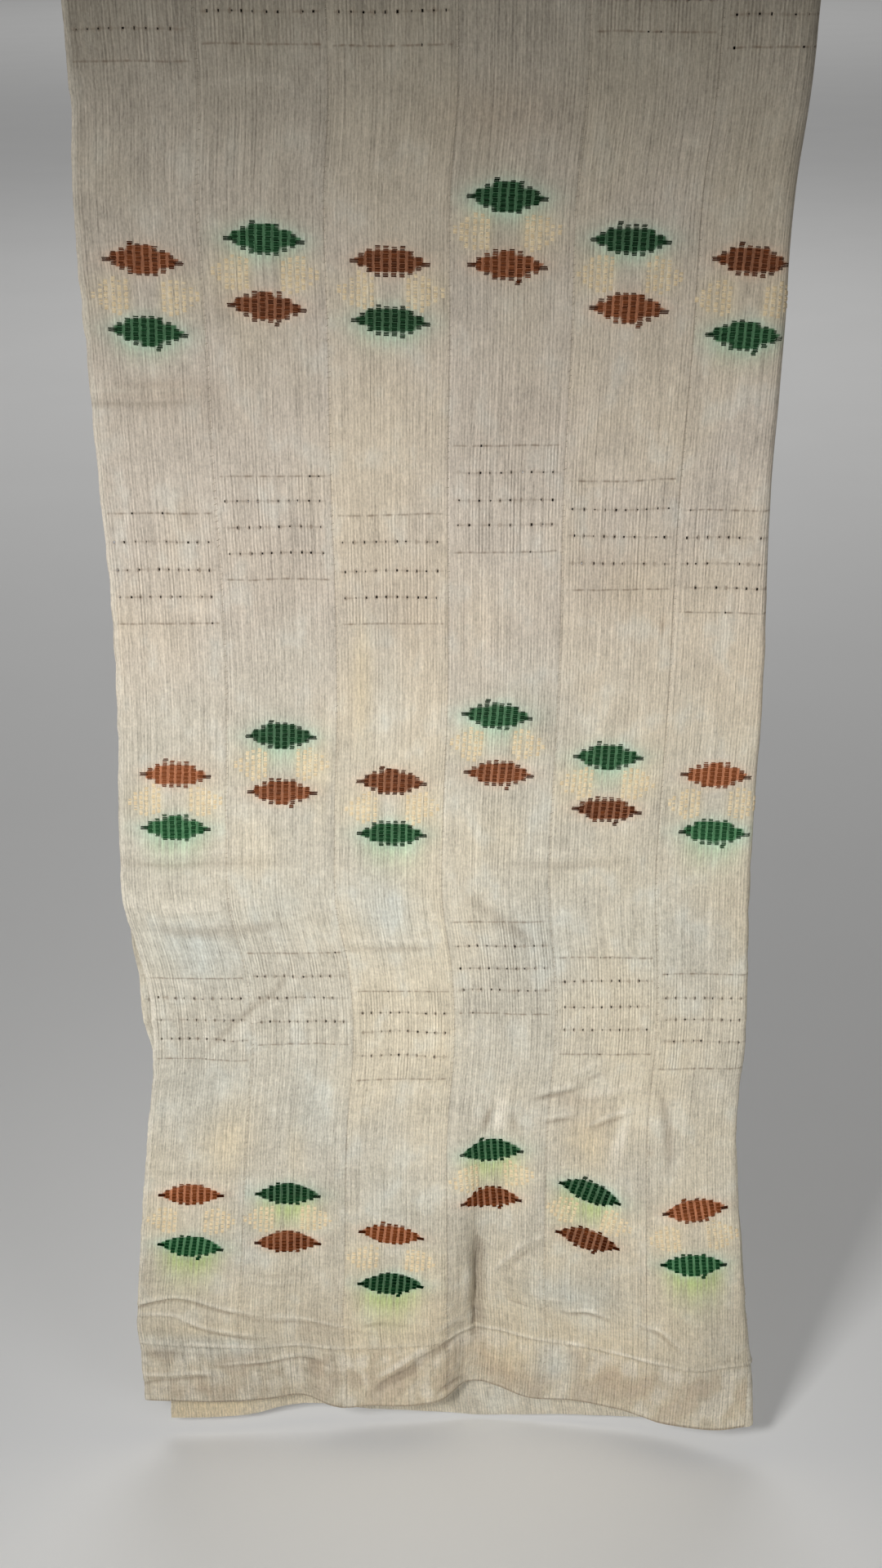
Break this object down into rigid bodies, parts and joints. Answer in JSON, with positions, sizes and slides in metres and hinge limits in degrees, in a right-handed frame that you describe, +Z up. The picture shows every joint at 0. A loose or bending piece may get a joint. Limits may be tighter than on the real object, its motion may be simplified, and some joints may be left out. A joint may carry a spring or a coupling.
{
  "type": "aso oke cloth of narrow woven strips, doubled lengthwise and hung by its top edge",
  "caption": "Hung cotton cloth of hand-woven narrow strips sewn edge to edge, doubled lengthwise with a soft fold on one side, a wavy free edge and a deep uneven hem.",
  "frame": {"origin": "middle of the front layer's top edge, where the cloth is held", "axes": "+Z up along the strips, -Y out of the front layer, +X to the right towards the fold"},
  "size_m": [0.6935, 0.0761, 1.834],
  "materials": {
    "pale_cotton": "undyed hand-spun cotton, warp-ribbed plain weave, matt, with age stains"
  },
  "bodies": {
    "root": {"strip_01": "pale_cotton", "strip_02": "pale_cotton", "strip_03": "pale_cotton", "strip_04": "pale_cotton", "strip_05": "pale_cotton", "strip_06": "pale_cotton", "strip_07": "pale_cotton", "strip_08": "pale_cotton", "strip_09": "pale_cotton", "strip_10": "pale_cotton", "strip_11": "pale_cotton", "strip_12": "pale_cotton"}
  },
  "joints": []
}
